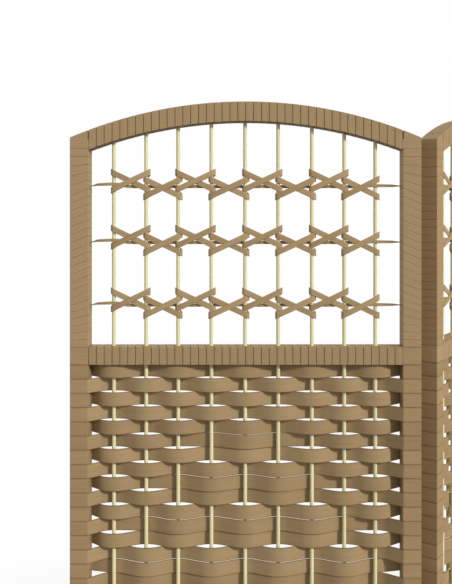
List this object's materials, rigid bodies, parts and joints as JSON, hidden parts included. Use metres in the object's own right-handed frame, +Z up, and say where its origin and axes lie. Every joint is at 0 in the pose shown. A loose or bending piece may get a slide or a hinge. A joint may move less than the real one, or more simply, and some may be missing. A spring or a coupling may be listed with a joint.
{
  "type": "folding room divider",
  "caption": "Free-standing folding screen of hinged arched panels, with flat bands woven round thin uprights and an open crossed-tape lattice at the top.",
  "frame": {"origin": "on the floor, at the centre of the middle panel, which is also the centre of the standing screen", "axes": "+Z up, front of the outer panels towards -Y, +X to the right seen from the front"},
  "size_m": [1.1718, 0.4154, 1.8],
  "materials": {
    "timber": "plain sawn timber",
    "upright_wood": "pale turned wood",
    "fibre_tape": "matte natural fibre tape",
    "fibre_band": "matte natural fibre band",
    "hinge_metal": "brushed",
    "glide_plastic": "moulded"
  },
  "bodies": {
    "left_panel": {"left_stile_left": "timber", "left_stile_right": "timber", "left_arch_rail": "timber", "left_mid_rail": "timber", "left_bottom_rail": "timber", "left_uprights": "upright_wood", "left_joint_pegs": "timber", "left_foot_glides": "glide_plastic", "left_arch_binding": "fibre_tape", "left_mid_rail_binding": "fibre_tape", "left_bottom_rail_binding": "fibre_tape", "left_stile_bindings": "fibre_tape", "left_rail_end_tapes": "fibre_tape", "left_corner_caps": "fibre_tape", "left_woven_bands": "fibre_band", "left_lattice_tapes": "fibre_tape", "back_hinge_leaves_left": "hinge_metal", "back_hinge_screws_left": "hinge_metal"},
    "middle_panel": {"middle_stile_left": "timber", "middle_stile_right": "timber", "middle_arch_rail": "timber", "middle_mid_rail": "timber", "middle_bottom_rail": "timber", "middle_uprights": "upright_wood", "middle_joint_pegs": "timber", "middle_foot_glides": "glide_plastic", "middle_arch_binding": "fibre_tape", "middle_mid_rail_binding": "fibre_tape", "middle_bottom_rail_binding": "fibre_tape", "middle_stile_bindings": "fibre_tape", "middle_rail_end_tapes": "fibre_tape", "middle_corner_caps": "fibre_tape", "middle_woven_bands": "fibre_band", "middle_lattice_tapes": "fibre_tape", "back_hinge_leaves_middle": "hinge_metal", "back_hinge_pins": "hinge_metal", "back_hinge_screws_middle": "hinge_metal", "front_hinge_leaves_middle": "hinge_metal", "front_hinge_pins": "hinge_metal", "front_hinge_screws_middle": "hinge_metal"},
    "right_panel": {"right_stile_left": "timber", "right_stile_right": "timber", "right_arch_rail": "timber", "right_mid_rail": "timber", "right_bottom_rail": "timber", "right_uprights": "upright_wood", "right_joint_pegs": "timber", "right_foot_glides": "glide_plastic", "right_arch_binding": "fibre_tape", "right_mid_rail_binding": "fibre_tape", "right_bottom_rail_binding": "fibre_tape", "right_stile_bindings": "fibre_tape", "right_rail_end_tapes": "fibre_tape", "right_corner_caps": "fibre_tape", "right_woven_bands": "fibre_band", "right_lattice_tapes": "fibre_tape", "front_hinge_leaves_right": "hinge_metal", "front_hinge_screws_right": "hinge_metal"}
  },
  "joints": [
    {"name": "back_hinge", "type": "hinge", "parent": "middle_panel", "child": "left_panel", "pos_m": [-0.13506, -0.18153, 0.762], "axis": [0, 0, -1], "range_deg": [-57, 123]},
    {"name": "front_hinge", "type": "hinge", "parent": "middle_panel", "child": "right_panel", "pos_m": [0.13506, 0.18153, 0.762], "axis": [0, 0, -1], "range_deg": [-57, 123]}
  ]
}
